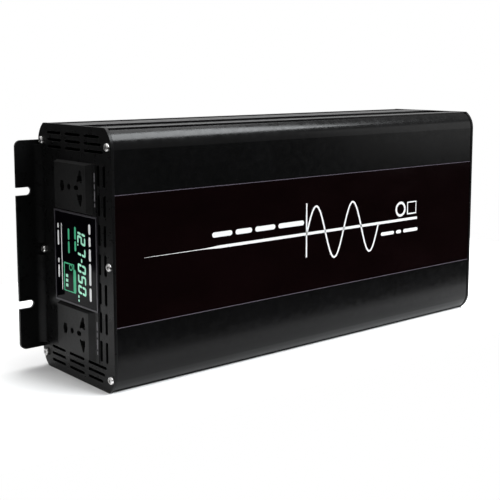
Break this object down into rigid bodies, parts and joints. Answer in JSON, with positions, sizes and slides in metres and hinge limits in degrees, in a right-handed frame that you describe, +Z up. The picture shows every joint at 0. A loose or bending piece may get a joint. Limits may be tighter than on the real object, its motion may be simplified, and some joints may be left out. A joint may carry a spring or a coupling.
{
  "type": "power inverter",
  "caption": "Extruded black power inverter with slotted wall flanges on its end panels, universal mains sockets and a display at one end, and fans, studs and a switch at the other.",
  "frame": {"origin": "bottom centre of the box round the whole unit, as it stands on its long side", "axes": "+X runs along the housing from the AC end, with the sockets, to the DC end; +Y runs from the labelled front face to the mounting face; +Z is up, across the housing's width"},
  "size_m": [0.465, 0.11, 0.2],
  "materials": {
    "housing_black": "satin black powder coat over aluminium",
    "gloss_black": "glossy near-black film or window",
    "bezel_grey": "satin dark grey",
    "steel": "bright zinc plated",
    "brass": "plain machined brass",
    "black_plastic": "fine satin moulded black",
    "red_plastic": "satin moulded red",
    "copper": "plain copper",
    "board_green": "solder-masked glass laminate",
    "lcd_glass": "dark display glass in a frame",
    "ferrite": "sintered dark grey",
    "winding_yellow": "winding under yellow tape",
    "aluminium": "extruded, plain",
    "epoxy_black": "moulded epoxy",
    "can_sleeve": "dark blue shrink sleeve",
    "fuse_orange": "clear orange moulding",
    "lead_black": "insulated wire"
  },
  "bodies": {
    "housing": {"ac_end_panel": "housing_black", "ac_leads": "lead_black", "ac_transistors": "epoxy_black", "base_shell": "housing_black", "board_screws": "steel", "board_standoffs": "brass", "bus_capacitors": "can_sleeve", "busbar_negative": "copper", "busbar_positive": "copper", "caption_plates": "housing_black", "choke_core": "ferrite", "choke_winding": "copper", "control_board": "board_green", "dc_end_panel": "housing_black", "dc_transistors": "epoxy_black", "display_bezel": "bezel_grey", "display_board": "board_green", "display_screws": "steel", "display_spacers": "black_plastic", "display_window": "gloss_black", "earth_nut": "brass", "earth_stud": "brass", "earth_washer": "brass", "fan_frame_lower": "black_plastic", "fan_frame_upper": "black_plastic", "fan_guard_lower": "steel", "fan_guard_upper": "steel", "fan_leads": "lead_black", "fan_nuts": "steel", "fan_screws": "steel", "front_shell": "housing_black", "fuses": "fuse_orange", "heat_sink_lower": "aluminium", "heat_sink_upper": "aluminium", "input_capacitors": "can_sleeve", "label_strip": "gloss_black", "lcd_module": "lcd_glass", "main_board": "board_green", "panel_screws": "steel", "socket_contacts": "brass", "socket_lower": "black_plastic", "socket_upper": "black_plastic", "switch_housing": "black_plastic", "switch_tabs": "brass", "terminal_bush_negative": "black_plastic", "terminal_bush_positive": "red_plastic", "terminal_insulators": "black_plastic", "terminal_nuts": "steel", "terminal_stud_negative": "brass", "terminal_stud_positive": "brass", "terminal_washers": "steel", "transformer_cores": "ferrite", "transformer_windings": "winding_yellow"},
    "fan_rotor_upper": {"fan_rotor_upper": "black_plastic"},
    "fan_rotor_lower": {"fan_rotor_lower": "black_plastic"},
    "rocker": {"switch_rocker": "black_plastic"},
    "knob_positive": {"terminal_knob_positive": "red_plastic"},
    "knob_negative": {"terminal_knob_negative": "black_plastic"}
  },
  "joints": [
    {"name": "fan_upper_spin", "type": "hinge", "parent": "housing", "child": "fan_rotor_upper", "pos_m": [0.196, -0.003, 0.156], "axis": [1, 0, 0], "continuous": true},
    {"name": "fan_lower_spin", "type": "hinge", "parent": "housing", "child": "fan_rotor_lower", "pos_m": [0.196, -0.003, 0.044], "axis": [1, 0, 0], "continuous": true},
    {"name": "rocker_tilt", "type": "hinge", "parent": "housing", "child": "rocker", "pos_m": [0.2105, 0.015, 0.1], "axis": [0, 1, 0], "range_deg": [-20, 0]},
    {"name": "knob_positive_turn", "type": "hinge", "parent": "housing", "child": "knob_positive", "pos_m": [0.2242, -0.019, 0.115], "axis": [1, 0, 0], "range_deg": [0, 720]},
    {"name": "knob_negative_turn", "type": "hinge", "parent": "housing", "child": "knob_negative", "pos_m": [0.2242, -0.019, 0.085], "axis": [1, 0, 0], "range_deg": [0, 720]}
  ]
}
